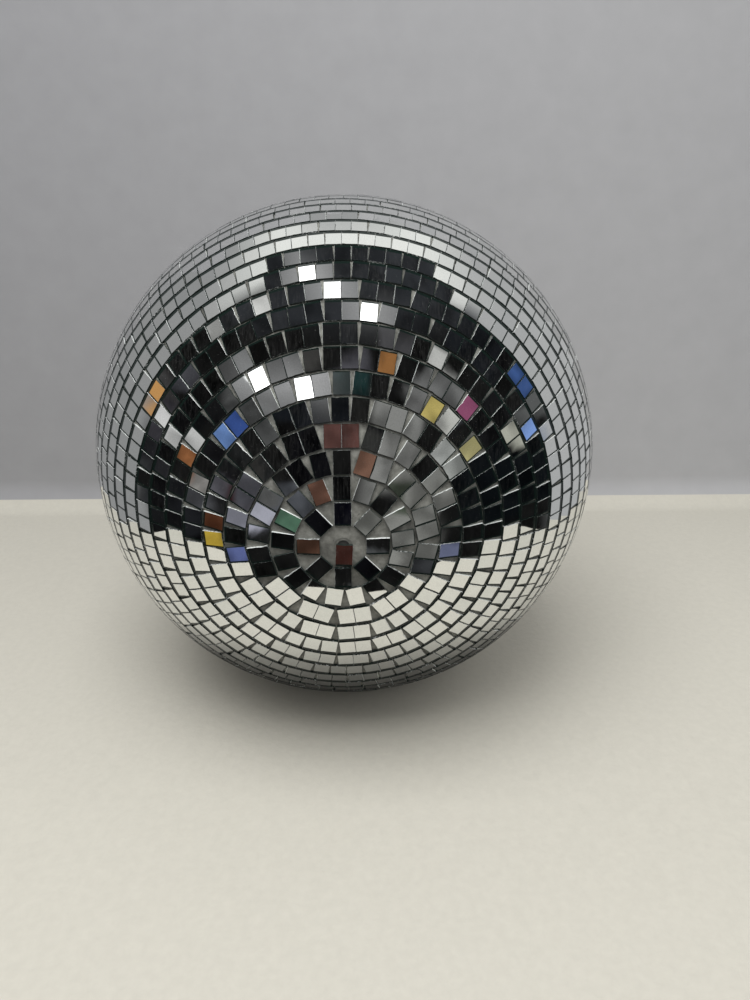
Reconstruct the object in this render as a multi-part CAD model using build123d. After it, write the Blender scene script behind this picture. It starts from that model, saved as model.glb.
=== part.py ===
"""A 300 mm mirror ball hung from a swivel eye and a ring.

Row frame: millimetres, +Z up along the spin axis. The origin is where a hook bears inside the hanging
ring, so the ball's centre lies HANG_Z below it. Every part is built about the ball's centre, and is
lowered by HANG_Z when it is written.

The tile rows are numbered from the closed pole at the bottom (row 1) to the hanger cap at the top.
"""

import math
import os
import random

from build123d import *

# Driving dimensions.
BALL_R = 150.0  # over the mirror faces
GLASS_T = 1.3  # mirror glass
TILE_LIFT = 0.05  # room under a tile that leans
CORE_R = BALL_R - GLASS_T - TILE_LIFT  # outside of the moulded core, with its coat of adhesive
WALL_T = 3.0  # core wall
TILE_W = 7.8  # along the row
TILE_H = 10.7  # from row to row
ROW_COUNT = 37
SHANK_R = 3.0  # swivel eye's shank
RUN_GAP = 0.05  # running clearance, radial and axial
SEED = 12

# Core.
CORE_IN_R = CORE_R - WALL_T
LAP_H = 6.0  # height of the lip that laps the two halves
LAP_MID_R = CORE_R - WALL_T / 2
LAP_GAP = 0.1
POLE_HOLE_R = 2.9  # mandrel hole at the closed pole
PLUG_FIT = 0.03  # clearance round the plug's stem
PLUG_RECESS = 0.7
PLUG_LIP = 1.2  # how far its inner lip reaches past the hole, and how thick it is
PLUG_LIP_GAP = 0.1
PLUG_EDGE_R = 0.4
TOP_HOLE_R = 6.0  # clearance round the shank

# Tile rows, as angles at the ball's centre, from the closed pole.
BACK_R = CORE_R + TILE_LIFT  # radius of the tiles' back faces
FIRST_EDGE = math.radians(3.85)
CAP_R = 28.0
CAP_MARGIN = 1.6  # from the cap's rim to the last row
LAST_EDGE = math.pi - math.asin((CAP_R + CAP_MARGIN) / BACK_R)
ROW_PITCH = (LAST_EDGE - FIRST_EDGE) / ROW_COUNT
ROW_GAP = ROW_PITCH - TILE_H / BACK_R
SIDE_GAP = 0.06  # least gap between neighbours
TILE_STEP = 2 * math.atan(TILE_W / 2 / BACK_R) + SIDE_GAP / BACK_R  # between neighbours in a strip
STRIP_MOST = 7  # tiles are laid in short straight strips, and the row's slack is shared between strips
STRIP_BOW = 0.26  # a straight strip's ends stand off its curved row by no more than this
STRIP_SHIFT = 0.05  # a strip is off its row's line by up to this
SEAM = math.radians(-90)  # azimuth where every row starts, so that columns line up there
WOBBLE_WAVES = ((2, 0.45), (3, 0.30), (5, 0.18))  # waves round a row, and how far each strays in mm
WOBBLE_START = 1.0  # radians
WOBBLE_TWIST = 0.25  # turn of each wave from one row to the next
START_SPREAD = 0.6  # a row starts this near the seam, in mm
STRIP_SLACK = (0.3, 1.0)  # shares of the row's slack that its strips take
TURN_MAX = math.radians(0.22)  # a tile's turn in its own plane
TILT_SIGMA = math.radians(0.33)  # a tile's lean off the sphere
TILT_MAX = math.radians(0.75)
CUT_SPREAD = 0.06  # a tile's width and height vary by up to this
POLE_TILE_X = 0.4
POLE_TILE_Y = 4.2  # the pole tile sits to one side and half covers the plug
POLE_TILE_TURN = 3.0

# Hanger cap, on the core's top.
CAP_SEAT = 0.2  # bedding under the cap
CAP_IN_R = CORE_R + CAP_SEAT
CAP_T = 2.0
CAP_OUT_R = CAP_IN_R + CAP_T
CAP_RIM_R = 0.9  # rounding of the rim
HUB_R = 13.0
HUB_TOP = 154.0
HUB_EDGE_R = 1.2
SCREW_RING_R = 21.0
SCREW_AZIMUTHS = (0, 90, 180, 270)
SCREW_R = 1.95
SCREW_L = 18.0
HEAD_R = 4.0
HEAD_H = 2.6
HEAD_SEAT = 0.2  # from the cap to a screw's head
PILOT_R = 2.0
CLEAR_R = 2.3
RECESS_W = 1.1  # cross recess: width, arm and depth, over the head's radius and height
RECESS_ARM = 0.26
RECESS_DEPTH = 0.6
HEAD_ROUND = 0.45

# Swivel, from the top down.
BUSH_R = 5.0
BUSH_FIT = 0.01
BUSH_FLANGE_R = 8.0
BUSH_FLANGE_T = 1.5
BUSH_L = 5.5
THRUST_T = 0.8
THRUST_FIT = 0.2
COLLAR_R = 7.0
COLLAR_T = 2.5
COLLAR_EDGE_R = 0.4
NECK_R = (5.2, 3.0)
NECK_H = 3.2
NECK_SINK = 0.2  # overlap of neck and collar
COLLAR_Z = HUB_TOP + BUSH_FLANGE_T + THRUST_T + RUN_GAP
EYE_RING_R = 8.5
EYE_WIRE_R = 2.5
EYE_SINK = 1.0  # how far the eye's wire is forged into the collar
EYE_Z = COLLAR_Z + COLLAR_T + EYE_RING_R + EYE_WIRE_R - EYE_SINK
RING_R = 16.75
RING_WIRE_R = 1.75
PIVOT_Z = EYE_Z + EYE_RING_R - EYE_WIRE_R - RING_WIRE_R - RUN_GAP
RING_Z = PIVOT_Z + RING_R
HANG_Z = RING_Z + RING_R - RING_WIRE_R

# Block and its plate, inside the top of the core.
BLOCK_R = 36.0
BLOCK_Z = 122.0
PLATE_R = 24.0
PLATE_T = 2.5
PLATE_SCREW_RING_R = 18.0
PLATE_SCREW_R = 1.45
PLATE_SCREW_L = 10.0
PLATE_PILOT_FIT = 0.05
PLATE_CLEAR = 0.3
PLATE_SCREW_AZIMUTHS = (45, 165, 285)
PLATE_HEAD_R = 2.9
PLATE_HEAD_H = 1.9
BLOCK_GLUE = 0.05
LOWER_FLANGE_T = 1.2
LOWER_BUSH_REACH = 2.0  # how far the lower bush stands into the block
PLATE_Z = BLOCK_Z - PLATE_T
LOWER_FLANGE_Z = PLATE_Z - LOWER_FLANGE_T
WASHER_R = 7.0
WASHER_T = 1.2
WASHER_FIT = 0.1
WASHER_Z = LOWER_FLANGE_Z - RUN_GAP - WASHER_T
NUT_FLATS = 10.0
NUT_H = 6.0
NUT_Z = WASHER_Z - NUT_H
NUT_FIT = 0.02
NUT_COLLAR_R = NUT_FLATS / 2 - 0.3
NUT_CHAMFER = 0.5
INSERT_H = 1.8
INSERT_R = NUT_FLATS / 2 - 1.2
INSERT_RECESS = 0.2
SHANK_END_Z = NUT_Z - 2.5
SHANK_CHAMFER = 0.6

# Safety bracket, under the screw at azimuth 0.
BRACKET_T = 2.0
FOOT_L = 12.6  # across the cap's flange
FOOT_HALF_W = 6.0
TAB_H = 18.0
TAB_CORNER_R = 4.0
BEND_IN_R = 0.6
BRACKET_SEAT = 0.1
SAFETY_HOLE_R = 4.25
SAFETY_HOLE_H = 11.4
NEAR = 0.01  # two heights closer than this are the same


def rod(radius, z_low, z_high):
    """A round bar along Z between two heights."""
    return Pos(0, 0, (z_low + z_high) / 2) * Cylinder(radius, z_high - z_low)


def circles(shape):
    return shape.edges().filter_by(GeomType.CIRCLE)


def tube(radius, bore, z_low, z_high):
    return rod(radius, z_low, z_high) - rod(bore, z_low - 1, z_high + 1)


def polar_point(radius, polar, azimuth):
    """A point at this angle from the closed pole (-Z), at this azimuth from +X."""
    return Vector(
        radius * math.sin(polar) * math.cos(azimuth),
        radius * math.sin(polar) * math.sin(azimuth),
        -radius * math.cos(polar),
    )


def cap_site(azimuth, lift=0.0):
    """The place of a cap screw's seat: origin on the cap's outside, Z straight out of the ball."""
    lean = math.degrees(math.asin(SCREW_RING_R / CAP_OUT_R))
    return Rot(0, 0, azimuth) * Rot(0, lean, 0) * Pos(0, 0, CAP_OUT_R + lift)


# ---- core -------------------------------------------------------------------------------------------


def screw_holes(radius):
    """Round cuts along the four cap screws, deep enough for the screws' tips."""
    depth = SCREW_L + 4
    return [cap_site(a) * Pos(0, 0, 4 - depth / 2) * Cylinder(radius, depth + 8) for a in SCREW_AZIMUTHS]


def half_space(z_low, z_high):
    return Pos(0, 0, (z_low + z_high) / 2) * Box(4 * BALL_R, 4 * BALL_R, z_high - z_low)


def core_upper():
    """Upper half of the core: the shell above the equator, with a lip inside that laps into the lower."""
    shell = (Sphere(CORE_R) & half_space(0, 2 * BALL_R)) - Sphere(CORE_IN_R)
    lip = (Sphere(LAP_MID_R - LAP_GAP) & half_space(-LAP_H, 1)) - Sphere(CORE_IN_R)
    half = shell + lip - rod(TOP_HOLE_R, 0, 2 * BALL_R)
    return half - screw_holes(CLEAR_R)


def core_lower():
    """Lower half of the core, rebated for the lip, with the mandrel hole at the closed pole."""
    shell = (Sphere(CORE_R) & half_space(-2 * BALL_R, 0)) - Sphere(CORE_IN_R)
    rebate = Sphere(LAP_MID_R) & half_space(-LAP_H - LAP_GAP, 1)
    return shell - rebate - rod(POLE_HOLE_R, -2 * BALL_R, 0)


def pole_plug():
    """Push-in button that closes the mandrel hole: a stem with a lip inside the shell."""
    face_z = -CORE_R + PLUG_RECESS
    seat_z = -math.sqrt(CORE_IN_R**2 - POLE_HOLE_R**2) + PLUG_LIP_GAP
    stem = rod(POLE_HOLE_R - PLUG_FIT, face_z, seat_z + PLUG_LIP / 2)
    lip = rod(POLE_HOLE_R + PLUG_LIP, seat_z, seat_z + PLUG_LIP)
    return fillet(stem.edges().group_by(Axis.Z)[0], PLUG_EDGE_R) + lip


# ---- mirror tiles -----------------------------------------------------------------------------------


class Row:
    """The line that one row of tiles is laid to: its edge nearest the closer pole, as polar(azimuth)."""

    def __init__(self, row):
        self.near_edge = FIRST_EDGE + (row - 1) * ROW_PITCH + ROW_GAP / 2
        self.far_edge = self.near_edge + TILE_H / BACK_R
        self.middle = (self.near_edge + self.far_edge) / 2
        self.lower = self.middle < math.pi / 2
        self.tight = self.near_edge if self.lower else self.far_edge
        self.twist = row * WOBBLE_TWIST

    def shift(self, azimuth):
        """How far the row has wandered from its true circle here. Neighbouring rows wander together."""
        start = azimuth + WOBBLE_START
        wander = sum(far * math.sin(waves * start + self.twist) for waves, far in WOBBLE_WAVES)
        return wander / BACK_R * math.sin(self.middle)

    def tight_point(self, azimuth):
        return polar_point(BACK_R, self.tight + self.shift(azimuth), azimuth)

    def most_in_strip(self):
        """The most tiles that a straight strip can have here, so that its ends keep off the next row."""
        bend = abs(math.cos(self.middle)) / math.sin(self.middle) / BACK_R
        reach = math.sqrt(2 * STRIP_BOW / max(bend, 1e-6))
        return max(1, min(STRIP_MOST, 1 + int(2 * reach / TILE_W)))


class Strip:
    """Tiles laid side by side along a great circle, with the middle of the strip on its row's line."""

    def __init__(self, line, azimuth, count, shift):
        self.count = count
        edge = line.tight_point(azimuth)
        along = (line.tight_point(azimuth + 0.01) - line.tight_point(azimuth - 0.01)).normalized()
        to_equator = edge.normalized().cross(along) * (1 if line.lower else -1)
        self.middle = (edge + to_equator * (TILE_H / 2 + shift)).normalized()
        self.along = (along - self.middle * along.dot(self.middle)).normalized()
        self.to_equator = self.middle.cross(self.along) * (1 if line.lower else -1)

    def frame(self, place):
        """Where a tile stands and which way the strip runs there, this many tiles from the middle."""
        turn = place * TILE_STEP
        out = self.middle * math.cos(turn) + self.along * math.sin(turn)
        return out, self.along * math.cos(turn) - self.middle * math.sin(turn)

    def places(self):
        return [i - (self.count - 1) / 2 for i in range(self.count)]

    def end_corners(self, end):
        """The back corners at the strip's start (-1) or finish (+1): nearest the pole, then farthest."""
        out, along = self.frame(end * (self.count - 1) / 2)
        side = out * BACK_R + along * (end * TILE_W / 2)
        return [side + self.to_equator * (far * TILE_H / 2) for far in (-1, 1)]


def tile(centre, along, dice):
    """One cut tile with its back face at centre, its width along the row, and a little error in its lay."""
    normal = centre.normalized()
    along = (along - normal * along.dot(normal)).normalized()
    turn = dice.uniform(-TURN_MAX, TURN_MAX)
    along = along.rotate(Axis((0, 0, 0), normal), math.degrees(turn))
    across = normal.cross(along)
    leans = [max(-TILT_MAX, min(TILT_MAX, dice.gauss(0, TILT_SIGMA))) for _ in range(2)]
    normal = (normal + along * leans[0] + across * leans[1]).normalized()
    width = TILE_W - dice.uniform(0, CUT_SPREAD)
    height = TILE_H - dice.uniform(0, CUT_SPREAD)
    place = Plane(origin=centre, x_dir=along, z_dir=normal)
    return place * Box(width, height, GLASS_T, align=(Align.CENTER, Align.CENTER, Align.MIN))


def azimuth_of(point):
    return math.atan2(point.Y, point.X)


def gap_between(before, after):
    """Least azimuth from one strip's finish to the next one's start, beyond the least gap."""
    gaps = []
    for a, b in zip(before.end_corners(1), after.end_corners(-1)):
        turn = (azimuth_of(b) - azimuth_of(a) + math.pi) % math.tau - math.pi
        gaps.append(turn - SIDE_GAP / math.hypot(a.X, a.Y))
    return min(gaps)


def strip_after(line, before, count, shift, slack):
    """The next strip round the row, standing off the one before by the slack."""
    azimuth = azimuth_of(before.middle) + (before.count + count) / 2 * TILE_STEP / math.sin(line.middle)
    for _ in range(4):
        strip = Strip(line, azimuth, count, shift)
        azimuth += slack - gap_between(before, strip)
    return Strip(line, azimuth, count, shift)


def lay_strips(line, start, plan):
    """Strips all round the row, from a plan of each one's tile count, shift and slack."""
    strips = [Strip(line, start, *plan[0][:2])]
    for count, shift, slack in plan[1:]:
        strips.append(strip_after(line, strips[-1], count, shift, slack))
    return strips


def strip_counts(line, start, dice):
    """As many tiles as fit round the row, split into strips."""
    most = line.most_in_strip()
    least = max(1, most - 2)
    first = last = Strip(line, start, dice.randint(least, most), 0)
    counts, turned = [first.count], 0
    while True:
        for count in range(dice.randint(least, most), 0, -1):
            strip = strip_after(line, last, count, 0, 0)
            onward = turned + (azimuth_of(strip.middle) - azimuth_of(last.middle)) % math.tau
            if onward < math.pi or gap_between(strip, first) > 0:
                break
        else:
            return counts
        counts.append(count)
        last, turned = strip, onward


def mirror_row(row):
    """One row as a group of separate tiles, in strips with the slack between them."""
    dice = random.Random(SEED * 1000 + row)
    line = Row(row)
    start = SEAM if row > 1 else SEAM + math.pi
    start += dice.uniform(-START_SPREAD, START_SPREAD) / BACK_R / math.sin(line.middle)
    counts = strip_counts(line, start, dice)
    shifts = [dice.uniform(-STRIP_SHIFT, STRIP_SHIFT) for _ in counts]
    shares = [dice.uniform(*STRIP_SLACK) for _ in counts]
    slack = 0.0
    for _ in range(6):
        plan = [(count, shift, slack * share) for count, shift, share in zip(counts, shifts, shares)]
        strips = lay_strips(line, start, plan)
        slack += (gap_between(strips[-1], strips[0]) - plan[0][2]) / sum(shares)
    tiles = []
    for strip in strips:
        for place in strip.places():
            out, along = strip.frame(place)
            tiles.append(tile(out * BACK_R, along, dice))
    return Compound(children=tiles)


def pole_tile():
    """The single tile that closes the fan at the pole."""
    dice = random.Random(SEED)
    drop = math.sqrt(BACK_R**2 - POLE_TILE_Y**2 - POLE_TILE_X**2)
    centre = Vector(POLE_TILE_X, POLE_TILE_Y, -drop)
    along = Vector(1, 0, 0).rotate(Axis.Z, POLE_TILE_TURN)
    return tile(centre.normalized() * BACK_R, along, dice)


# ---- hanger cap -------------------------------------------------------------------------------------


def hanger_cap():
    """Spun steel cap: a flange that follows the ball, and a raised hub for the swivel."""
    dome = (Sphere(CAP_OUT_R) & rod(CAP_R, 0, 2 * BALL_R)) - Sphere(CAP_IN_R)
    hub = rod(HUB_R, CAP_IN_R - CAP_T, HUB_TOP) - Sphere(CAP_IN_R)
    cap = dome + hub - rod(HUB_R - CAP_T, 0, HUB_TOP - CAP_T)
    hub_top = circles(cap).filter_by(lambda e: abs(e.center().Z - HUB_TOP) < NEAR)
    cap = fillet(hub_top, HUB_EDGE_R)
    rim = circles(cap).filter_by(lambda e: abs(e.radius - CAP_R) < NEAR)
    cap = fillet(rim.sort_by(Axis.Z)[-1], CAP_RIM_R)
    return cap - rod(BUSH_R, 0, 2 * BALL_R) - screw_holes(CLEAR_R)


def pan_screw(radius, length, head_r, head_h):
    """A pan-head screw with a cross recess, pointing down, with its seat at Z 0."""
    head = rod(head_r, 0, head_h)
    head = fillet(circles(head).sort_by(Axis.Z)[-1], head_h * HEAD_ROUND)
    arm_size = head_r * RECESS_W, head_r * RECESS_ARM, head_h
    arm = Box(*arm_size, align=(Align.CENTER, Align.CENTER, Align.MIN))
    recess = Pos(0, 0, head_h * (1 - RECESS_DEPTH)) * (arm + Rot(0, 0, 90) * arm)
    tip_l = 2 * radius
    shank = rod(radius, -length + tip_l, head_h / 10)
    tip = Pos(0, 0, -length + tip_l / 2) * Cone(radius / 8, radius, tip_l)
    return head - recess + shank + tip


def cap_screws():
    screw = pan_screw(SCREW_R, SCREW_L, HEAD_R, HEAD_H)
    seats = [cap_site(a, HEAD_SEAT + (BRACKET_T if a == 0 else 0)) for a in SCREW_AZIMUTHS]
    return Compound(children=[seat * screw for seat in seats])


def safety_bracket():
    """L-shaped tab for a safety cable, with its foot under a cap screw and its tab bent up at the side."""
    tab_y = FOOT_HALF_W + BRACKET_T / 2
    foot = Pos(0, BRACKET_T / 2, BRACKET_T / 2) * Box(FOOT_L, 2 * FOOT_HALF_W + BRACKET_T, BRACKET_T)
    body = foot + Pos(0, tab_y, TAB_H / 2) * Box(FOOT_L, BRACKET_T, TAB_H)
    top_corners = body.edges().filter_by(Axis.Y).filter_by(lambda e: e.center().Z > TAB_H - NEAR)
    body = fillet(top_corners, TAB_CORNER_R)
    outer = body.edges().filter_by(Axis.X).filter_by(lambda e: e.center().Z < NEAR and e.center().Y > tab_y)
    body = fillet(outer, BRACKET_T)
    inner = body.edges().filter_by(Axis.X).filter_by(
        lambda e: abs(e.center().Z - BRACKET_T) < NEAR and abs(e.center().Y - FOOT_HALF_W) < NEAR
    )
    body = fillet(inner, BEND_IN_R)
    body -= Pos(0, tab_y, SAFETY_HOLE_H) * Rot(90, 0, 0) * Cylinder(SAFETY_HOLE_R, 3 * BRACKET_T)
    body -= Cylinder(CLEAR_R, 4 * BRACKET_T)
    return cap_site(0, BRACKET_SEAT) * body


# ---- swivel -----------------------------------------------------------------------------------------


def upper_bush():
    """Flanged bush in the cap's hub."""
    flange = tube(BUSH_FLANGE_R, SHANK_R + RUN_GAP, HUB_TOP, HUB_TOP + BUSH_FLANGE_T)
    return flange + tube(BUSH_R - BUSH_FIT, SHANK_R + RUN_GAP, HUB_TOP - BUSH_L, HUB_TOP)


def thrust_washer():
    low = HUB_TOP + BUSH_FLANGE_T
    return tube(COLLAR_R, SHANK_R + THRUST_FIT, low, low + THRUST_T)


def swivel_eye():
    """Forged eye on a shouldered shank. The eye's hole faces Y, and the shank turns in the two bushes."""
    loop = Pos(0, 0, EYE_Z) * Rot(90, 0, 0) * Torus(EYE_RING_R, EYE_WIRE_R)
    collar = rod(COLLAR_R, COLLAR_Z, COLLAR_Z + COLLAR_T)
    collar = fillet(circles(collar), COLLAR_EDGE_R)
    neck = Pos(0, 0, COLLAR_Z + COLLAR_T - NECK_SINK + NECK_H / 2) * Cone(*NECK_R, NECK_H)
    hole = Pos(0, 0, EYE_Z) * Rot(90, 0, 0) * Cylinder(EYE_RING_R - EYE_WIRE_R, 4 * EYE_WIRE_R)
    shank = rod(SHANK_R, SHANK_END_Z, COLLAR_Z + COLLAR_T / 2)
    shank = chamfer(circles(shank).sort_by(Axis.Z)[0], SHANK_CHAMFER)
    return (neck - hole) + collar + shank + loop


def hanging_ring():
    """Closed wire ring through the eye, standing across it. The swivel hangs from its lowest point."""
    return Pos(0, 0, RING_Z) * Rot(0, 90, 0) * Torus(RING_R, RING_WIRE_R)


def nut_washer():
    return tube(WASHER_R, SHANK_R + WASHER_FIT, WASHER_Z, WASHER_Z + WASHER_T)


def lock_nut():
    """Hexagon lock nut with a round collar at its foot, which holds the insert."""
    hex_z, top_z = NUT_Z + INSERT_H, NUT_Z + NUT_H
    hexagon = Pos(0, 0, hex_z) * extrude(RegularPolygon(NUT_FLATS / 2, 6, major_radius=False), top_z - hex_z)
    hexagon &= chamfer(circles(rod(NUT_FLATS / math.sqrt(3), hex_z, top_z)), NUT_CHAMFER)
    body = hexagon + rod(NUT_COLLAR_R, NUT_Z, hex_z) - rod(SHANK_R + NUT_FIT, 0, BALL_R)
    return body - rod(INSERT_R, 0, hex_z)


def lock_nut_insert():
    low, high = NUT_Z + INSERT_RECESS, NUT_Z + INSERT_H - NUT_FIT
    return tube(INSERT_R - NUT_FIT, SHANK_R + NUT_FIT, low, high)


# ---- block inside the core --------------------------------------------------------------------------


def plate_screw_sites():
    return [Rot(0, 0, a) * Pos(PLATE_SCREW_RING_R, 0, PLATE_Z) * Rot(180, 0, 0) for a in PLATE_SCREW_AZIMUTHS]


def hanger_block():
    """Turned wooden block glued under the crown, which the cap screws bite into."""
    block = rod(BLOCK_R, BLOCK_Z, BALL_R) & Sphere(CORE_IN_R - BLOCK_GLUE)
    block -= rod(TOP_HOLE_R, 0, 2 * BALL_R)
    block -= screw_holes(PILOT_R)
    pilot = rod(PLATE_SCREW_R + PLATE_PILOT_FIT, -PLATE_SCREW_L - 1, 1)
    return block - [site * pilot for site in plate_screw_sites()]


def backing_plate():
    """Steel disc under the block, which carries the ball's weight to the swivel's nut."""
    plate = tube(PLATE_R, BUSH_R, PLATE_Z, BLOCK_Z)
    hole = rod(PLATE_SCREW_R + PLATE_CLEAR, -PLATE_T - 1, 1)
    return plate - [site * hole for site in plate_screw_sites()]


def plate_screws():
    screw = pan_screw(PLATE_SCREW_R, PLATE_SCREW_L, PLATE_HEAD_R, PLATE_HEAD_H)
    return Compound(children=[site * screw for site in plate_screw_sites()])


def lower_bush():
    """Flanged bush in the backing plate, with its flange down against the nut's washer."""
    flange = tube(BUSH_FLANGE_R, SHANK_R + RUN_GAP, LOWER_FLANGE_Z, PLATE_Z)
    return flange + tube(BUSH_R - BUSH_FIT, SHANK_R + RUN_GAP, PLATE_Z, BLOCK_Z + LOWER_BUSH_REACH)


def parts():
    """Every node's name and the function that makes it."""
    made = {
        f.__name__: f()
        for f in (
            core_lower,
            core_upper,
            pole_plug,
            pole_tile,
            hanger_block,
            backing_plate,
            plate_screws,
            lower_bush,
            upper_bush,
            thrust_washer,
            hanger_cap,
            cap_screws,
            safety_bracket,
            swivel_eye,
            nut_washer,
            lock_nut,
            lock_nut_insert,
            hanging_ring,
        )
    }
    for row in range(1, ROW_COUNT + 1):
        made[f"mirror_row_{row:02d}"] = mirror_row(row)
    return made


def main():
    os.makedirs("parts", exist_ok=True)
    for name, shape in parts().items():
        lowered = Pos(0, 0, -HANG_Z) * shape
        solids = lowered.solids()
        export_step(solids[0] if len(solids) == 1 else Compound(solids), f"parts/{name}.step")


main()
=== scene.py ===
"""The looks of the mirror ball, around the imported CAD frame.

Metres, in the CAD's frame: +Z is up the spin axis, and the closed pole is the ball's lowest point. The camera
looks at the closed pole, with the ball lying on its side: its picture's up is about -Y and its right is +X.

Every row of tiles is rebuilt from the CAD's own tiles as bevelled mirror glass with a chipped, cut edge.
"""

import math
import random

import bmesh
import bpy
import numpy as np
from mathutils import Matrix, Vector, noise


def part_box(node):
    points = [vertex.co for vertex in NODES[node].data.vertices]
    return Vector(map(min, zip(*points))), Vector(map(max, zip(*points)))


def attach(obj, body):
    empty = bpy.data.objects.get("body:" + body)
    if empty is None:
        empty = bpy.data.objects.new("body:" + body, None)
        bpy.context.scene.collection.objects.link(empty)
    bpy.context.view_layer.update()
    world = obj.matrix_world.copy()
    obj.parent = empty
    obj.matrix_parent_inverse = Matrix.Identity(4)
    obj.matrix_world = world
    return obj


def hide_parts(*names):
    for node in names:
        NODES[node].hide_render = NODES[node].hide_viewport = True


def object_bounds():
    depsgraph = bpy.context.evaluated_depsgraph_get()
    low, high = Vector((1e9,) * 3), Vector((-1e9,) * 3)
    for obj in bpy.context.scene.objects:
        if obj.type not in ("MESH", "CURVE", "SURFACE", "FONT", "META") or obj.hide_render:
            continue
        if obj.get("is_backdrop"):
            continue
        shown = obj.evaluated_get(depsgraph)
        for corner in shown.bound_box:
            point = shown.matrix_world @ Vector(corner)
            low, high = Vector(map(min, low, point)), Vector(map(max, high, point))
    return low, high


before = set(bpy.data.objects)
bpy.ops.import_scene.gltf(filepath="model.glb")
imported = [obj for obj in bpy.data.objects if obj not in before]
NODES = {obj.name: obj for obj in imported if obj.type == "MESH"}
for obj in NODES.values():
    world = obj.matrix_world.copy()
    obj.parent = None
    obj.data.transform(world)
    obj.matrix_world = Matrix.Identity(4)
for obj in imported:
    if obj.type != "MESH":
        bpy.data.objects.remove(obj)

CAD_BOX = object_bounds()
SEED = 7

ROWS = sorted(name for name in NODES if name.startswith("mirror_row_"))

# The ball, measured from its core, whose lowest points are the rim of the mandrel hole.
MANDREL_HOLE_R = 0.0029
CORE_LOW, CORE_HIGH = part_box("core_lower")
CORE_R = (CORE_HIGH.x - CORE_LOW.x) / 2
CENTRE = Vector((0, 0, CORE_LOW.z + math.sqrt(CORE_R**2 - MANDREL_HOLE_R**2)))
BALL_R = -(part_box("pole_tile")[0].z - CENTRE.z)

# The camera, in radii from the ball's centre, and where its picture's up and right point.
LENS = 27.07
SENSOR = 36.0
CAMERA_OFFSET = Vector((0.118, -0.2176, 3.190))  # right, up and back, in the camera's own axes
POLE_IN_VIEW = Vector((0.0225, -0.3602, 0.9325))  # the closed pole's direction, in the camera's axes
FLOOR_UP_IN_VIEW = Vector((0.0, 0.938, 0.345))


# ---- node helpers -----------------------------------------------------------------------------------


class Nodes:
    """A small helper that adds and joins shader nodes."""

    def __init__(self, tree):
        self.tree = tree

    def add(self, kind, settings=None, **inputs):
        node = self.tree.nodes.new(kind)
        for key, value in (settings or {}).items():
            setattr(node, key, value)
        for key, value in inputs.items():
            self.feed(node, key, value)
        return node

    def feed(self, node, key, value):
        name = key.replace("_", " ")
        matching = [s for s in node.inputs if s.name.lower() == name.lower()]
        socket = matching[0] if matching else node.inputs[int(key.lstrip("i"))]
        self.set(socket, value)

    def set(self, socket, value):
        if isinstance(value, bpy.types.NodeSocket):
            self.tree.links.new(value, socket)
        elif isinstance(value, bpy.types.Node):
            self.tree.links.new(value.outputs[0], socket)
        elif socket.type == "RGBA" and len(value) == 3:
            socket.default_value = (*value, 1.0)
        else:
            socket.default_value = value

    def math(self, operation, a, b=0.0, clamp=False):
        return self.add("ShaderNodeMath", {"operation": operation, "use_clamp": clamp}, i0=a, i1=b).outputs[0]

    def dot(self, vector, direction):
        direction = tuple(direction) if isinstance(direction, Vector) else direction
        node = self.add("ShaderNodeVectorMath", {"operation": "DOT_PRODUCT"}, i0=vector, i1=direction)
        return node.outputs["Value"]

    def step(self, value, low, high):
        """0 at low, 1 at high and smooth between, whichever of the two is larger."""
        settings = {"interpolation_type": "SMOOTHSTEP"}
        return self.add("ShaderNodeMapRange", settings, Value=value, From_Min=low, From_Max=high).outputs[0]

    def noise(self, vector, scale, detail=3.0, roughness=0.55):
        return self.add(
            "ShaderNodeTexNoise", Vector=vector, Scale=scale, Detail=detail, Roughness=roughness
        ).outputs["Fac"]

    def mix(self, factor, a, b, blend="MIX"):
        node = self.add("ShaderNodeMix", {"data_type": "RGBA", "blend_type": blend})
        self.set(node.inputs[0], factor)
        self.set(node.inputs[6], a)
        self.set(node.inputs[7], b)
        return node.outputs[2]

    def ramp(self, value, *stops):
        node = self.add("ShaderNodeValToRGB", i0=value)
        elements = node.color_ramp.elements
        while len(elements) < len(stops):
            elements.new(0.5)
        for element, (place, colour) in zip(elements, stops):
            element.position = place
            element.color = (*colour, 1.0)
        return node.outputs[0]


def new_material(name):
    material = bpy.data.materials.new(name)
    material.use_nodes = True
    material.node_tree.nodes.clear()
    nodes = Nodes(material.node_tree)
    return material, nodes


def finish_material(material, nodes, shader):
    nodes.add("ShaderNodeOutputMaterial", Surface=shader)
    return material


def object_space(nodes):
    return nodes.add("ShaderNodeTexCoord").outputs["Object"]


def principled(nodes, **inputs):
    return nodes.add("ShaderNodeBsdfPrincipled", **inputs)


def bump(nodes, height, strength, distance):
    return nodes.add("ShaderNodeBump", Strength=strength, Distance=distance, Height=height)


# ---- where things stand -----------------------------------------------------------------------------


def view_to_row():
    """The rotation from the camera's axes to the row frame."""
    pole = POLE_IN_VIEW.normalized()
    up = (FLOOR_UP_IN_VIEW - pole * FLOOR_UP_IN_VIEW.dot(pole)).normalized()
    return Matrix((up.cross(pole), -up, -pole))


VIEW_TO_ROW = view_to_row()
UP = (VIEW_TO_ROW @ FLOOR_UP_IN_VIEW).normalized()
RIGHT = Vector((1, 0, 0))
FRONT = RIGHT.cross(UP)  # from the ball towards the camera, level with the floor
POLE = Vector((0, 0, -1))
POLE_UP = Vector((0, -1, 0))


def add_object(name, data):
    thing = bpy.data.objects.new(name, data)
    bpy.context.scene.collection.objects.link(thing)
    return thing


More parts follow.
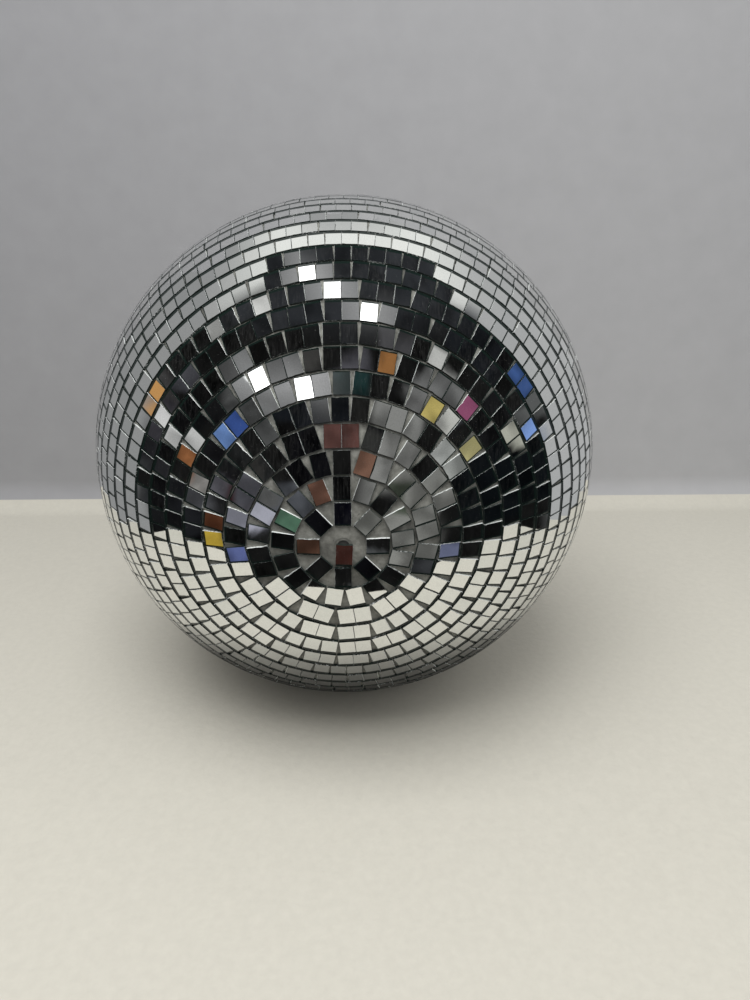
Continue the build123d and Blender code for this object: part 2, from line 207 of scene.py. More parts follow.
def add_camera():
    data = bpy.data.cameras.new("camera")
    data.lens = LENS
    data.sensor_width = SENSOR
    data.clip_start = 0.01
    camera = add_object("camera", data)
    place = CENTRE + VIEW_TO_ROW @ (CAMERA_OFFSET * BALL_R)
    camera.matrix_world = Matrix.Translation(place) @ VIEW_TO_ROW.to_4x4()
    bpy.context.scene.camera = camera


# ---- the room that the mirrors show -----------------------------------------------------------------

# Places are degrees right and up from the direction that the closed pole faces.
LAMP = (3.0, 3.0, 3.0)
LAMPS = (
    (-20.7, 96, 4.8),
    (-6, 87.2, 4.8),
    (12.5, 75.4, 4.8),
    (-40.2, 43, 4.8),
    (-17, 42.6, 4.8),
)
# Furniture and other clutter: place, half width, half height, lean, colour.
CLUTTER = (
    # pale cloth, right of the middle
    (20, 14, 9, 20, -14, (0.17, 0.17, 0.165)),
    (30, -14, 13, 20, -6, (0.175, 0.175, 0.165)),
    (38, 38, 12, 10, 30, (0.13, 0.13, 0.13)),
    (24, -6, 3, 8, -10, (0.05, 0.06, 0.045)),
    (42.5, -33, 5, 4.6, 0, (0.09, 0.1, 0.16)),
    (9.5, -14, 5, 5, 0, (0.15, 0.15, 0.14)),
    # dark middle and right
    (-14, 6, 6, 24, 8, (0.003, 0.003, 0.004)),
    (-1.5, -10, 4.6, 6, 0, (0.003, 0.003, 0.006)),
    (-13, 34, 17, 6, 4, (0.006, 0.007, 0.009)),
    (13, -32, 8, 7, 0, (0.003, 0.003, 0.004)),
    (72, -8, 28, 18, -4, (0.003, 0.004, 0.005)),
    (66, 56, 18, 12, -40, (0.008, 0.009, 0.011)),
    (0, 45, 9, 5, 0, (0.008, 0.022, 0.022)),
    # shelf edges and blinds
    (49, 43, 4, 13, 45, (0.36, 0.36, 0.35)),
    (76.5, 12.5, 4.6, 6, 55, (0.3, 0.3, 0.26)),
    (-87.5, 16.5, 4.6, 5, -15, (0.45, 0.45, 0.45)),
    (-80, 10, 4.6, 5, -15, (0.42, 0.42, 0.42)),
    (-67.5, 12.5, 4.6, 5, -15, (0.38, 0.38, 0.38)),
    (-52.5, 17.5, 4.6, 5, -15, (0.3, 0.3, 0.3)),
    (-63.5, -5.5, 4.6, 5, -15, (0.26, 0.25, 0.24)),
    (-41, -16, 5, 7, 8, (0.31, 0.31, 0.37)),
    (-34, -12, 4.6, 5, 0, (0.29, 0.29, 0.34)),
    (-40.5, -1, 6, 6, 20, (0.085, 0.085, 0.1)),
    (-66.5, 61.5, 5, 5, -40, (0.42, 0.42, 0.41)),
    (-41.5, 77, 5, 5, -30, (0.5, 0.5, 0.49)),
    (45, 24, 4.6, 4.6, 0, (0.38, 0.38, 0.36)),
    (42, 12.5, 4.6, 4.6, 20, (0.36, 0.37, 0.36)),
    (46, 5.5, 4.6, 4.6, 20, (0.28, 0.29, 0.28)),
    # warm things
    (20.5, 53.5, 4.6, 6, 15, (0.22, 0.1, 0.035)),
    (-1, 23, 8, 4, 0, (0.085, 0.04, 0.035)),
    (9, 11.5, 4.6, 4.6, 30, (0.16, 0.085, 0.06)),
    (-11, -1.5, 4.6, 5, -20, (0.14, 0.07, 0.05)),
    (-23.5, -14.5, 6, 4.6, -20, (0.055, 0.026, 0.02)),
    (-15, -24.5, 5, 4.6, 0, (0.065, 0.033, 0.022)),
    (-1.5, -29.5, 4.6, 4.6, 0, (0.05, 0.018, 0.014)),
    (-48, -7, 5, 7, 0, (0.035, 0.008, 0.008)),
    (-55, -20.5, 5, 4.6, 0, (0.08, 0.03, 0.015)),
    (-91, 22, 5, 11, -18, (0.38, 0.2, 0.07)),
    (-67, 0, 4, 7, -8, (0.25, 0.1, 0.04)),
    # coloured things
    (-47.5, 24, 5, 5, -30, (0.03, 0.06, 0.2)),
    (-52.5, 17.5, 5, 4.6, -25, (0.11, 0.19, 0.4)),
    (-45.5, -33.5, 5, 4.6, 0, (0.08, 0.1, 0.23)),
    (-23.5, -14.5, 3.0, 4.2, 20, (0.085, 0.17, 0.115)),
    (-56.5, -29, 4.6, 4.6, 0, (0.36, 0.25, 0.035)),
    (38.5, 31, 4.6, 5, 10, (0.37, 0.3, 0.1)),
    (55, 29, 3.4, 4.2, 20, (0.19, 0.055, 0.11)),
    (55.5, 11.5, 4.6, 4.6, 0, (0.5, 0.45, 0.22)),
    (88, 10, 4.6, 4.6, 20, (0.17, 0.27, 0.55)),
    (85, 31, 5, 8, 20, (0.05, 0.1, 0.27)),
    (99, 4, 4.6, 4.6, 0, (0.05, 0.12, 0.27)),
)


DOME_R = 12.0
DOME_STEP = 0.5  # degrees
DIM_THINGS = 240
LARGE_DIM_THINGS = 100
CREASE_DEPTH = 0.42
OPENING_EDGE = -0.14  # the cosine to the pole's direction where the dark opening ends
OPENING_REACH = 0.27  # how much further back it reaches above the ball
OPENING_SOFT = 0.015


def chart_of(ways):
    """Degrees right and up of the pole's direction for unit vectors, and their cosine towards it."""
    forward = ways @ np.array(POLE)
    angle = np.degrees(np.arccos(np.clip(forward, -1, 1)))
    sideways = np.maximum(np.hypot(ways @ np.array(RIGHT), ways @ np.array(POLE_UP)), 1e-9)
    return ways @ np.array(RIGHT) / sideways * angle, ways @ np.array(POLE_UP) / sideways * angle, forward


def smooth_step(value, low, high):
    t = np.clip((value - low) / (high - low), 0, 1)
    return t * t * (3 - 2 * t)


def patch(across, above, place, half_size, lean=0.0, soft=0.08):
    """A soft-edged rectangle in the room's chart: 1 inside, 0 outside."""
    c, s = math.cos(math.radians(lean)), math.sin(math.radians(lean))
    a, b = across - place[0], above - place[1]
    reach = np.maximum(abs(a * c + b * s) / half_size[0], abs(b * c - a * s) / half_size[1])
    return 1 - smooth_step(reach, 1 - soft, 1.0)


def paint(colours, colour, share):
    """Lays a colour over those already there."""
    return colours + (np.array(colour) - colours) * share[:, None]


def dim_things(across, above, dice):
    """A jumble of dark panels for the depths of the room."""
    colours = np.full((len(across), 3), 0.006)
    for i in range(DIM_THINGS):
        place = dice.uniform(-105, 105), dice.uniform(-45, 112)
        least, most = (4, 12) if i < LARGE_DIM_THINGS else (0.7, 3.5)
        size = dice.uniform(least, most), dice.uniform(least, most)
        level = 0.003 + 0.085 * dice.random() ** 3.4
        colour = level * dice.uniform(0.92, 1.05), level, level * dice.uniform(0.95, 1.2)
        colours = paint(colours, colour, patch(across, above, place, size, dice.uniform(-30, 30)))
    return colours


def creases(ways):
    """Creases, edges and small things, too fine to list: between -1 and 1."""
    grain = np.array([noise.noise(Vector(way) * 24) + 0.5 * noise.noise(Vector(way) * 60) for way in ways])
    return np.tanh(4 * grain)


def room_colours(ways):
    """Pale walls behind the ball, and in front of it a dark room with lamps and clutter."""
    across, above, forward = chart_of(ways)
    room = dim_things(across, above, random.Random(SEED))
    ceiling = patch(across, above, (4, 92), (90, 30), 0, 0.3)
    room = paint(room, (0.024, 0.026, 0.030), ceiling * 0.7)
    for a, b, half_w, half_h, lean, colour in CLUTTER:
        room = paint(room, colour, patch(across, above, (a, b), (half_w, half_h), lean))
    room = room * (1 + CREASE_DEPTH * creases(ways))[:, None]
    for a, b, size in LAMPS:
        glow = patch(across, above, (a, b), (size * 3.6, size * 2.3), -12, 1.0)
        room = paint(room, (0.66, 0.66, 0.67), glow * 0.75)
    for a, b, size in LAMPS:
        room = paint(room, LAMP, patch(across, above, (a, b), (size, size * 0.9), -12, 0.12))
    # Painted light: the pale walls are painted lighter towards the right, and brightest in a lit patch above
    # the ball.
    walls = (0.36 + 0.0007 * np.clip(across, -120, 120))[:, None] * (1.0, 1.01, 1.02)
    walls = paint(walls, (0.86, 0.87, 0.84), patch(across, above, (4, 100), (84, 34), 0, 0.5))
    # The opening in the pale walls reaches back above the ball.
    edge = OPENING_EDGE - OPENING_REACH * patch(across, above, (4, 96), (50, 36), 6, 0.06)
    opening = smooth_step(forward - edge, -OPENING_SOFT, OPENING_SOFT)
    return walls + (room - walls) * opening[:, None]


def painted_material():
    """Light of the colour painted on each corner, for the mirrors alone."""
    material, nodes = new_material("room")
    colour = nodes.add("ShaderNodeAttribute", {"attribute_name": "paint"}).outputs["Color"]
    material.cycles.emission_sampling = "NONE"
    return finish_material(material, nodes, nodes.add("ShaderNodeEmission", Color=colour))


def add_room():
    """The room, painted on a great dome that only the mirrors see."""
    columns, rows = round(360 / DOME_STEP), round(180 / DOME_STEP)
    turns = np.linspace(0, math.pi, rows + 1), np.linspace(0, math.tau, columns + 1)
    polar, azimuth = np.meshgrid(*turns, indexing="ij")
    spin = np.stack([np.cos(azimuth), np.sin(azimuth)], -1)[..., None] * np.array([RIGHT, POLE_UP])
    ways = spin.sum(-2) * np.sin(polar)[..., None] + np.array(POLE) * np.cos(polar)[..., None]
    ways = ways.reshape(-1, 3)
    wide = columns + 1
    corners = [j * wide + i for j in range(rows) for i in range(columns)]
    faces = [(k, k + 1, k + 1 + wide, k + wide) for k in corners]
    mesh = bpy.data.meshes.new("room")
    mesh.from_pydata(np.array(CENTRE) + ways * DOME_R, [], faces)
    paint_layer = mesh.attributes.new("paint", "FLOAT_COLOR", "POINT")
    colours = np.concatenate([room_colours(ways), np.ones((len(ways), 1))], 1)
    paint_layer.data.foreach_set("color", colours.astype(np.float32).ravel())
    mesh.materials.append(painted_material())
    room = add_object("room", mesh)
    room.visible_camera = room.visible_diffuse = room.visible_shadow = room.visible_transmission = False
    room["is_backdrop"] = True


def add_world():
    """The camera sees a plain backdrop, and all else is lit by a soft studio."""
    world = bpy.data.worlds.new("studio")
    world.use_nodes = True
    world.node_tree.nodes.clear()
    nodes = Nodes(world.node_tree)
    direction = nodes.add("ShaderNodeTexCoord").outputs["Generated"]
    overhead = nodes.step(nodes.dot(direction, UP), -0.4, 1.0)
    studio = nodes.mix(overhead, (0.12, 0.12, 0.125), (0.55, 0.55, 0.55))
    camera = nodes.add("ShaderNodeLightPath").outputs["Is Camera Ray"]
    background = nodes.add("ShaderNodeBackground", Color=nodes.mix(camera, studio, (0.55, 0.55, 0.56)))
    nodes.add("ShaderNodeOutputWorld", Surface=background)
    bpy.context.scene.world = world


# ---- stage ------------------------------------------------------------------------------------------

FLOOR_NEAR = 1.76  # radii in front of the ball's centre
FLOOR_SIDE = 3.6
FLOOR_BOW = 1.2  # its front edge curves back beyond this, to each side
MIRROR_SIDE = 2.7  # the mirrors see the floor end here, at walls on each side
WALL_BACK = 2.0  # radii behind it, clear of the swung ball
WALL_TOP = 3.2
WALL_SPREAD = 2.4  # painted light: the wall is painted darker on the left than on the right, over this much to each side
COVE = 0.2
COVE_STEPS = 9
FLOOR_STRIPS = 6  # the flat floor and the first steps of the cove
STAGE_COLUMNS = 24
FLOOR = ("floor", (0.55, 0.53, 0.465), 220.0, False)
WALL = ("wall", (0.40, 0.40, 0.407), 40.0, True)

# The stage is seen between these cosines of the line of sight to the front, and to either side.
FLOOR_SEEN = (0.54, 0.48)
WALL_SEEN = (0.75, 0.65)
SIDE_HIDDEN = (0.46, 0.54)

# Radii from the ball's foot, from where the shade begins to where it is full.
MIRRORED_SHADE = (1.12, 0.6)
CONTACT_SHADE = (0.65, 0.1)
CONTACT_SHARE = 0.15  # how strong the second is, beside the one in the mirrors


def stage_material(name, colour, grain, is_wall):
    """Seen only from the front, so that it never blocks a view or the light from elsewhere."""
    material, nodes = new_material(name)
    incoming = nodes.add("ShaderNodeNewGeometry").outputs["Incoming"]
    away = nodes.step(nodes.dot(incoming, FRONT), *(WALL_SEEN if is_wall else FLOOR_SEEN))
    sideways = nodes.math("ABSOLUTE", nodes.dot(incoming, RIGHT))
    away = nodes.math("MAXIMUM", away, nodes.step(sideways, *SIDE_HIDDEN))
    path = nodes.add("ShaderNodeLightPath")
    hidden = nodes.math("MULTIPLY", away, path.outputs["Is Camera Ray"])
    space = object_space(nodes)
    aside = nodes.math("ABSOLUTE", nodes.dot(space, RIGHT))
    beyond = nodes.math("GREATER_THAN", aside, MIRROR_SIDE * BALL_R)
    hidden = nodes.math("MAXIMUM", hidden, nodes.math("MULTIPLY", beyond, path.outputs["Is Glossy Ray"]))
    mottle = nodes.noise(space, grain, 2.0, 0.6)
    shade = nodes.mix(mottle, tuple(c * 0.93 for c in colour), tuple(c * 1.05 for c in colour))
    if is_wall:
        hidden = nodes.math("MAXIMUM", hidden, path.outputs["Is Shadow Ray"])
        # Painted light: the wall's colour is made lighter towards the right.
        reach = WALL_SPREAD * BALL_R
        rightwards = nodes.step(nodes.dot(space, RIGHT), -reach, reach)
        light = nodes.mix(rightwards, (0.80, 0.80, 0.81), (1.0, 1.0, 1.0))
        shade = nodes.mix(1.0, shade, light, "MULTIPLY")
    else:
        deep = nodes.math("MULTIPLY", close_by(nodes, *MIRRORED_SHADE), path.outputs["Is Glossy Ray"])
        under = nodes.math("MULTIPLY", close_by(nodes, *CONTACT_SHADE), CONTACT_SHARE)
        shade = nodes.mix(nodes.math("MAXIMUM", deep, under), shade, (0.27, 0.27, 0.275), "MULTIPLY")
    relief = bump(nodes, mottle, 0.25, 0.001)
    surface = principled(nodes, Base_Color=shade, Roughness=0.9, Normal=relief)
    blend = nodes.add("ShaderNodeMixShader", i0=hidden, i1=surface.outputs[0])
    nodes.set(blend.inputs[2], nodes.add("ShaderNodeBsdfTransparent"))
    return finish_material(material, nodes, blend)


def close_by(nodes, far, near):
    """1 on the floor right under the ball, 0 far from there, for the deep shade that follows the ball."""
    on_ball = nodes.add("ShaderNodeTexCoord", {"object": NODES["core_lower"]}).outputs["Object"]
    from_ball = nodes.add("ShaderNodeVectorMath", {"operation": "DISTANCE"}, i0=on_ball, i1=CENTRE)
    low, high = (math.hypot(1, reach) * BALL_R for reach in (far, near))
    return nodes.step(from_ball.outputs["Value"], low, high)


def stage_point(side, up, front):
    """A point in radii from the ball's centre."""
    return CENTRE + (RIGHT * side + UP * up + FRONT * front) * BALL_R


def add_stage():
    """A floor under the ball that runs up a cove into a wall behind it."""
    profile = [(-1.0, FLOOR_NEAR), (-1.0, -WALL_BACK + COVE)]
    for i in range(1, COVE_STEPS + 1):
        turn = math.radians(90 / COVE_STEPS * i)
        profile.append((-1.0 + COVE * (1 - math.cos(turn)), -WALL_BACK + COVE * (1 - math.sin(turn))))
    profile.append((WALL_TOP, -WALL_BACK))
    verts, faces = [], []
    for up, front in profile:
        for i in range(STAGE_COLUMNS + 1):
            side = FLOOR_SIDE * (2 * i / STAGE_COLUMNS - 1)
            bow = 0.2 * max(0.0, abs(side) - FLOOR_BOW) ** 2 if front > 0 else 0.0
            verts.append(stage_point(side, up, front - bow))
    wide = STAGE_COLUMNS + 1
    for j in range(len(profile) - 1):
        for i in range(STAGE_COLUMNS):
            low = j * wide + i
            faces.append((low, low + 1, low + 1 + wide, low + wide))
    mesh = bpy.data.meshes.new("stage")
    mesh.from_pydata(verts, [], faces)
    for finish in (FLOOR, WALL):
        mesh.materials.append(stage_material(*finish))
    for polygon in mesh.polygons:
        polygon.use_smooth = True
        polygon.material_index = 0 if polygon.index < STAGE_COLUMNS * FLOOR_STRIPS else 1
    add_object("stage", mesh)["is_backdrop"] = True


def add_light(name, place, size, power):
    data = bpy.data.lights.new(name, "AREA")
    data.size = size
    data.energy = power
    light = add_object(name, data)
    light.visible_glossy = False
    light.visible_camera = False
    aim = (CENTRE - place).to_track_quat("-Z", "Y")
    light.matrix_world = Matrix.Translation(place) @ aim.to_matrix().to_4x4()


# ---- materials --------------------------------------------------------------------------------------

PLACE_MAP = "place"  # each mirror face's UV map: millimetres across and along from the tile's middle
TILE_HALF = (3.87, 5.32)  # millimetres, as are the next two
RIM_START, RIM_END = -0.05, 0.03  # where the dark rim sets in, past a tile's half size
SILVER_DEPTH = 1.3
GLASS_INDEX = 1.52


def through_the_edge(nodes):
    """1 where the line of sight, bent by the glass and thrown back by the silver, comes out of a cut edge."""
    place = nodes.add("ShaderNodeUVMap", {"uv_map": PLACE_MAP})
    place = nodes.add("ShaderNodeSeparateXYZ", i0=place)
    geometry = nodes.add("ShaderNodeNewGeometry")
    normal, incoming = geometry.outputs["Normal"], geometry.outputs["Incoming"]
    across = nodes.add("ShaderNodeTangent", {"direction_type": "UV_MAP", "uv_map": PLACE_MAP}).outputs[0]
    along = nodes.add("ShaderNodeVectorMath", {"operation": "CROSS_PRODUCT"}, i0=normal, i1=across).outputs[0]
    bent = [nodes.math("DIVIDE", nodes.dot(incoming, way), GLASS_INDEX) for way in (across, along)]
    squares = [nodes.math("MULTIPLY", b, b) for b in bent]
    cosine = nodes.math("SQRT", nodes.math("SUBTRACT", 1.0, nodes.math("ADD", *squares)))
    double_depth = nodes.math("DIVIDE", 2 * SILVER_DEPTH, cosine)
    masks = []
    for axis, half, b in zip((0, 1), TILE_HALF, bent):
        exit_place = nodes.math("SUBTRACT", place.outputs[axis], nodes.math("MULTIPLY", b, double_depth))
        masks.append(nodes.step(nodes.math("ABSOLUTE", exit_place), half + RIM_START, half + RIM_END))
    return nodes.math("MAXIMUM", *masks)


def mirror_material():
    """Silvered glass: crisp, a little wavy, with dust, smears and a faint green-grey cast."""
    material, nodes = new_material("mirror_glass")
    space = object_space(nodes)
    own = nodes.add("ShaderNodeAttribute", {"attribute_name": "tile"}).outputs["Fac"]
    smear = nodes.step(nodes.noise(space, 55.0, 5.0, 0.6), 0.5, 0.78)
    dust = nodes.step(nodes.noise(space, 2600.0, 2.0, 0.5), 0.71, 0.78)
    silver = nodes.mix(own, (0.86, 0.88, 0.87), (0.95, 0.96, 0.945))
    tint = nodes.mix(nodes.math("MULTIPLY", smear, 0.10), silver, (0.74, 0.74, 0.71))
    grain = nodes.step(nodes.noise(space, 2200.0, 3.0, 0.7), 0.35, 0.65)
    tint = nodes.mix(nodes.math("MULTIPLY", grain, 0.12), tint, (0.0, 0.0, 0.0))
    wave = nodes.noise(space, 60.0, 1.0, 0.4)
    relief = bump(nodes, wave, 0.012, 0.002)
    roughness = nodes.math("MULTIPLY_ADD", smear, 0.05)
    roughness.node.inputs[2].default_value = 0.018
    mirror = principled(nodes, Base_Color=tint, Metallic=1.0, Roughness=roughness, Normal=relief)
    speck = principled(nodes, Base_Color=(0.6, 0.6, 0.58), Roughness=0.8)
    wiped = nodes.add("ShaderNodeMapping", Vector=space, Scale=(1.0, 0.12, 0.12))
    film = nodes.step(nodes.noise(wiped, 1500.0, 3.0, 0.7), 0.40, 0.80)
    film = nodes.math("MULTIPLY", nodes.math("MULTIPLY", film, own), 0.03)
    veil = nodes.math("MAXIMUM", nodes.math("MULTIPLY", dust, 0.35), film)
    blend = nodes.add("ShaderNodeMixShader", i0=veil, i1=mirror.outputs[0])
    nodes.set(blend.inputs[2], speck)
    inside = principled(nodes, Base_Color=(0.006, 0.012, 0.010), Roughness=0.15, Specular_IOR_Level=0.35)
    rim = nodes.add("ShaderNodeMixShader", i0=through_the_edge(nodes), i1=blend)
    nodes.set(rim.inputs[2], inside)
    return finish_material(material, nodes, rim)


def cut_glass_material():
    """The scored and snapped edge: dark green glass, white where it has flaked, and painted white glints
    where the edge would catch the light.
    """
    material, nodes = new_material("cut_glass")
    space = object_space(nodes)
    glint = nodes.add("ShaderNodeAttribute", {"attribute_name": "glint"}).outputs["Fac"]
    flakes = nodes.noise(space, 1300.0, 4.0, 0.75)
    relief = bump(nodes, flakes, 0.5, 0.0004)
    dark = principled(nodes, Base_Color=(0.016, 0.026, 0.023), Roughness=0.3, Normal=relief)
    flake_and_glint_white = principled(nodes, Base_Color=(0.86, 0.89, 0.87), Roughness=0.35, Normal=relief)
    # Painted glints: white laid on the edge by each side's glint value, broken up by the flake noise
    share = nodes.step(nodes.math("ADD", nodes.math("MULTIPLY", glint, 0.5), flakes), 0.70, 0.85)
    blend = nodes.add("ShaderNodeMixShader", i0=share, i1=dark.outputs[0])
    nodes.set(blend.inputs[2], flake_and_glint_white)
    return finish_material(material, nodes, blend)


def adhesive_material():
    """Silver-grey adhesive with brushed drags, blotches and a few dark pits."""
    material, nodes = new_material("adhesive")
    space = object_space(nodes)
    blotch = nodes.noise(space, 120.0, 5.0, 0.65)
    fine = nodes.noise(space, 900.0, 4.0, 0.6)
    dark, middle, pale = (0.10, 0.10, 0.09), (0.23, 0.23, 0.205), (0.40, 0.40, 0.36)
    colour = nodes.ramp(blotch, (0.3, dark), (0.5, middle), (0.72, pale))
    pits = nodes.step(fine, 0.34, 0.28)
    colour = nodes.mix(pits, colour, (0.03, 0.03, 0.03))
    height = nodes.math("ADD", blotch, nodes.math("MULTIPLY", fine, 0.4))
    relief = bump(nodes, height, 0.6, 0.0008)
    skin = principled(nodes, Base_Color=colour, Roughness=0.42, Metallic=0.25, Normal=relief)
    return finish_material(material, nodes, skin)


def plastic_material(name, colour):
    material, nodes = new_material(name)
    space = object_space(nodes)
    grain = nodes.noise(space, 1800.0, 4.0, 0.6)
    shade = nodes.mix(grain, tuple(c * 0.8 for c in colour), tuple(c * 1.2 for c in colour))
    return finish_material(
        material,
        nodes,
        principled(nodes, Base_Color=shade, Roughness=0.45, Normal=bump(nodes, grain, 0.15, 0.0002)),
    )


def metal_material(name, colour, roughness, wear=0.3, turned=False):
    """Plated or turned metal, with tool marks, fine scratches and dull patches."""
    material, nodes = new_material(name)
    space = object_space(nodes)
    dull = nodes.step(nodes.noise(space, 90.0, 5.0, 0.6), 0.45, 0.75)
    stretch = nodes.add("ShaderNodeMapping", Vector=space, Scale=(1.0, 1.0, 14.0))
    marks = nodes.noise(stretch, 420.0, 3.0, 0.6)
    if turned:
        radius = nodes.add("ShaderNodeVectorMath", {"operation": "LENGTH"}, i0=flat_space(nodes, space))
        marks = nodes.math("SINE", nodes.math("MULTIPLY", radius.outputs["Value"], 14000.0))
    shade = nodes.mix(nodes.math("MULTIPLY", dull, wear), colour, tuple(c * 0.62 for c in colour))
    rough = nodes.math("MULTIPLY_ADD", dull, 0.14)
    rough.node.inputs[2].default_value = roughness
    relief = bump(nodes, marks, 0.06, 0.0001)
    metal = principled(nodes, Base_Color=shade, Metallic=1.0, Roughness=rough, Normal=relief)
    return finish_material(material, nodes, metal)


def flat_space(nodes, space):
    """The point with its height removed, so that its length is the distance from the spin axis."""
    return nodes.add("ShaderNodeVectorMath", {"operation": "MULTIPLY"}, i0=space, i1=(1.0, 1.0, 0.0))


def wood_material():
    material, nodes = new_material("wood")
    space = object_space(nodes)
    stretch = nodes.add("ShaderNodeMapping", Vector=space, Scale=(1.0, 9.0, 9.0))
    grain = nodes.noise(stretch, 60.0, 5.0, 0.6)
    shade = nodes.ramp(grain, (0.3, (0.30, 0.19, 0.10)), (0.7, (0.56, 0.40, 0.23)))
    relief = bump(nodes, grain, 0.3, 0.0003)
    return finish_material(material, nodes, principled(nodes, Base_Color=shade, Roughness=0.7, Normal=relief))


# ---- tiles ------------------------------------------------------------------------------------------

BEVEL = 0.00004
CUTS_PER_SIDE = 5  # where the outline may waver or be chipped
WAVER = 0.00002
CHIP_CHANCE = 0.07
CHIP_DEPTH = (0.00008, 0.00032)
CORNER_TRIM = (0.00003, 0.00012)
WELD = 1e-6


def islands(mesh):
    """Each tile's eight corners in a CAD row."""
    bm = bmesh.new()
    bm.from_mesh(mesh)
    bmesh.ops.remove_doubles(bm, verts=bm.verts, dist=WELD)
    seen = set()
    for start in bm.verts:
        if start in seen:
            continue
        seen.add(start)
        found, todo = [], [start]
        while todo:
            vert = todo.pop()
            found.append(vert.co.copy())
            for edge in vert.link_edges:
                other = edge.other_vert(vert)
                if other not in seen:
                    seen.add(other)
                    todo.append(other)
        yield found
    bm.free()


def tile_axes(corners):
    """A box's centre and its three edges from one corner: thickness, width and height, in that order."""
    first = corners[0]
    reach = sorted((corner - first for corner in corners[1:]), key=lambda v: v.length)
    return sum(corners, Vector()) / 8, reach[0], reach[1], reach[3]


def tile_outline(half_w, half_h, dice):
    """A rectangle whose straight cuts waver inward by a few hundredths, with an occasional chip."""
    corners = [(-half_w, -half_h), (half_w, -half_h), (half_w, half_h), (-half_w, half_h)]
    points = []
    for (x0, y0), (x1, y1) in zip(corners, corners[1:] + corners[:1]):
        length = math.hypot(x1 - x0, y1 - y0)
        inward = (-(y1 - y0) / length, (x1 - x0) / length)
        for i in range(CUTS_PER_SIDE):
            share = (i + dice.uniform(0.25, 0.75)) / CUTS_PER_SIDE
            depth = abs(dice.gauss(0, WAVER))
            if dice.random() < CHIP_CHANCE:
                depth += dice.uniform(*CHIP_DEPTH)
            x, y = x0 + (x1 - x0) * share, y0 + (y1 - y0) * share
            points.append((x + inward[0] * depth, y + inward[1] * depth))
        trim = dice.uniform(*CORNER_TRIM)
        points.append((x1 + inward[0] * trim, y1 + inward[1] * trim))
    return points


class TileMesh:
    """Gathers bevelled tiles into one mesh: slot 0 is the mirror face, slot 1 the cut edge and back."""

    def __init__(self):
        self.verts, self.faces, self.slots = [], [], []
        self.own, self.glints, self.places = [], [], []

    def ring(self, points, origin, across, along, inset):
        first = len(self.verts)
        reach = [math.hypot(x, y) for x, y in points]
        for (x, y), r in zip(points, reach):
            k = 1 - inset / max(r, 1e-6)
            self.verts.append(origin + across * (x * k) + along * (y * k))
        return list(range(first, len(self.verts)))

    def face(self, loop, slot, own, glint=0.0, places=None):
        self.faces.append(loop)
        self.slots.append(slot)
        self.own.append(own)
        self.glints.append(glint)
        for place in places or [(0.0, 0.0)] * len(loop):
            self.places.extend(place)

    def add(self, corners, dice):
        centre, thickness, width, height = tile_axes(corners)
        out = thickness.normalized()
        if out.dot(centre - CENTRE) < 0:
            out = -out
        across, along = width.normalized(), height.normalized()
        if across.cross(along).dot(out) < 0:
            across = -across
        own = dice.random()
        points = tile_outline(width.length / 2, height.length / 2, dice)
        half = thickness.length / 2
        loops = [
            self.ring(points, centre - out * half, across, along, 0.0),
            self.ring(points, centre + out * (half - BEVEL), across, along, 0.0),
            self.ring(points, centre + out * half, across, along, BEVEL * dice.uniform(0.8, 1.6)),
        ]
        self.face(loops[0][::-1], 1, own)
        self.face(loops[2], 0, own, places=[(x * 1000, y * 1000) for x, y in points])
        # Sides 0 and 2 face the next rows, and sides 1 and 3 the neighbours in the row.
        # Painted glints: how white each side is painted, as if it caught the light; the sides between
        # neighbours in the row get the most.
        glints = [dice.uniform(0, 0.7) ** 2, dice.random(), dice.uniform(0, 0.7) ** 2, dice.random()]
        count = len(points)
        for low, high in zip(loops, loops[1:]):
            for i in range(count):
                j = (i + 1) % count
                side = j // (CUTS_PER_SIDE + 1)
                self.face([low[i], low[j], high[j], high[i]], 1, own, glints[side])

    def to_object(self, name, materials):
        mesh = bpy.data.meshes.new(name)
        mesh.from_pydata(self.verts, [], self.faces)
        for material in materials:
            mesh.materials.append(material)
        mesh.polygons.foreach_set("material_index", self.slots)
        mesh.attributes.new("tile", "FLOAT", "FACE").data.foreach_set("value", self.own)
        mesh.attributes.new("glint", "FLOAT", "FACE").data.foreach_set("value", self.glints)
        mesh.uv_layers.new(name=PLACE_MAP).data.foreach_set("uv", self.places)
        return add_object(name, mesh)


def add_tiles(node, materials):
    """The visible tiles of one CAD row, each where the CAD has it."""
    dice = random.Random(f"{SEED} {node}")
    tiles = TileMesh()
    for corners in islands(NODES[node].data):
        tiles.add(corners, dice)
    piece = tiles.to_object(f"glass_{node}", materials)
    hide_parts(node)
    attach(piece, "ball")


# ---- adhesive ---------------------------------------------------------------------------------------

BED_COLUMNS = 420
BED_ROWS = 210
BED_START = 1.6  # degrees from the pole
BED_TOP_R = 0.0275  # it ends under the cap
BED_LIFT = 0.00022
BED_ROUGH = 0.00030


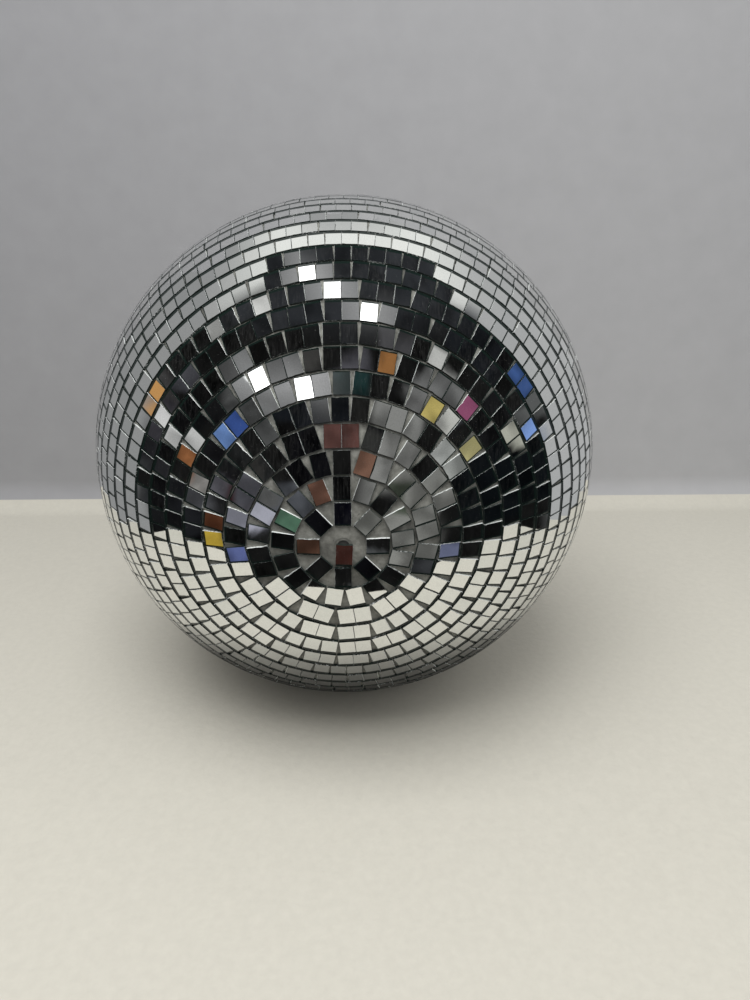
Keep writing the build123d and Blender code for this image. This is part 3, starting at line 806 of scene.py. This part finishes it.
def add_adhesive_bed(material):
    """The uneven bed that the tiles are pressed into: it shows in the gaps as drags and small fillets."""
    verts, faces = [], []
    low, high = math.radians(BED_START), math.pi - math.asin(BED_TOP_R / CORE_R)
    for j in range(BED_ROWS + 1):
        polar = low + (high - low) * j / BED_ROWS
        for i in range(BED_COLUMNS):
            azimuth = math.tau * i / BED_COLUMNS
            out = math.sin(polar)
            way = Vector((out * math.cos(azimuth), out * math.sin(azimuth), -math.cos(polar)))
            rough = noise.noise(way * 60) * 0.5 + noise.noise(way * 170) * 0.35
            lift = BED_LIFT + BED_ROUGH * max(-0.5, rough)
            verts.append(CENTRE + way * (CORE_R + lift))
    for j in range(BED_ROWS):
        for i in range(BED_COLUMNS):
            k = (i + 1) % BED_COLUMNS
            a, b = j * BED_COLUMNS, (j + 1) * BED_COLUMNS
            faces.append((a + i, a + k, b + k, b + i))
    mesh = bpy.data.meshes.new("adhesive_bed")
    mesh.from_pydata(verts, [], faces)
    mesh.materials.append(material)
    for polygon in mesh.polygons:
        polygon.use_smooth = True
    bed = add_object("adhesive_bed", mesh)
    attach(bed, "ball")


# ---- assembly ---------------------------------------------------------------------------------------


def dress_cad_nodes(adhesive):
    """Better materials on the CAD nodes that stay as they are."""
    chrome = metal_material("chrome", (0.72, 0.73, 0.74), 0.12)
    cap = metal_material("spun_cap", (0.66, 0.67, 0.68), 0.20, turned=True)
    zinc = metal_material("zinc", (0.58, 0.59, 0.60), 0.32, wear=0.5)
    brass = metal_material("brass", (0.72, 0.52, 0.22), 0.24, turned=True)
    finishes = {
        "core_lower": adhesive,
        "core_upper": adhesive,
        "pole_plug": plastic_material("plug_plastic", (0.075, 0.075, 0.07)),
        "hanger_block": wood_material(),
        "backing_plate": zinc,
        "plate_screws": zinc,
        "lower_bush": brass,
        "upper_bush": brass,
        "thrust_washer": zinc,
        "hanger_cap": cap,
        "cap_screws": chrome,
        "safety_bracket": zinc,
        "swivel_eye": chrome,
        "nut_washer": zinc,
        "lock_nut": zinc,
        "lock_nut_insert": plastic_material("nylon", (0.03, 0.08, 0.35)),
        "hanging_ring": chrome,
    }
    for node, material in finishes.items():
        for slot in NODES[node].material_slots:
            slot.material = material


def build():
    mirror, edge = mirror_material(), cut_glass_material()
    adhesive = adhesive_material()
    dress_cad_nodes(adhesive)
    for node in ROWS + ["pole_tile"]:
        add_tiles(node, [mirror, edge])
    add_adhesive_bed(adhesive)


build()
add_stage()
add_room()
add_world()
add_light("key", stage_point(-1.0, 6.5, 3.2), 0.8, 13.0)
add_light("fill", stage_point(6.0, 4.0, 4.0), 1.2, 3.5)
add_camera()
bpy.context.scene.view_settings.view_transform = "Standard"

boxes = {"cad": CAD_BOX, "visual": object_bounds()}
{name: [list(corner) for corner in box] for name, box in boxes.items()}
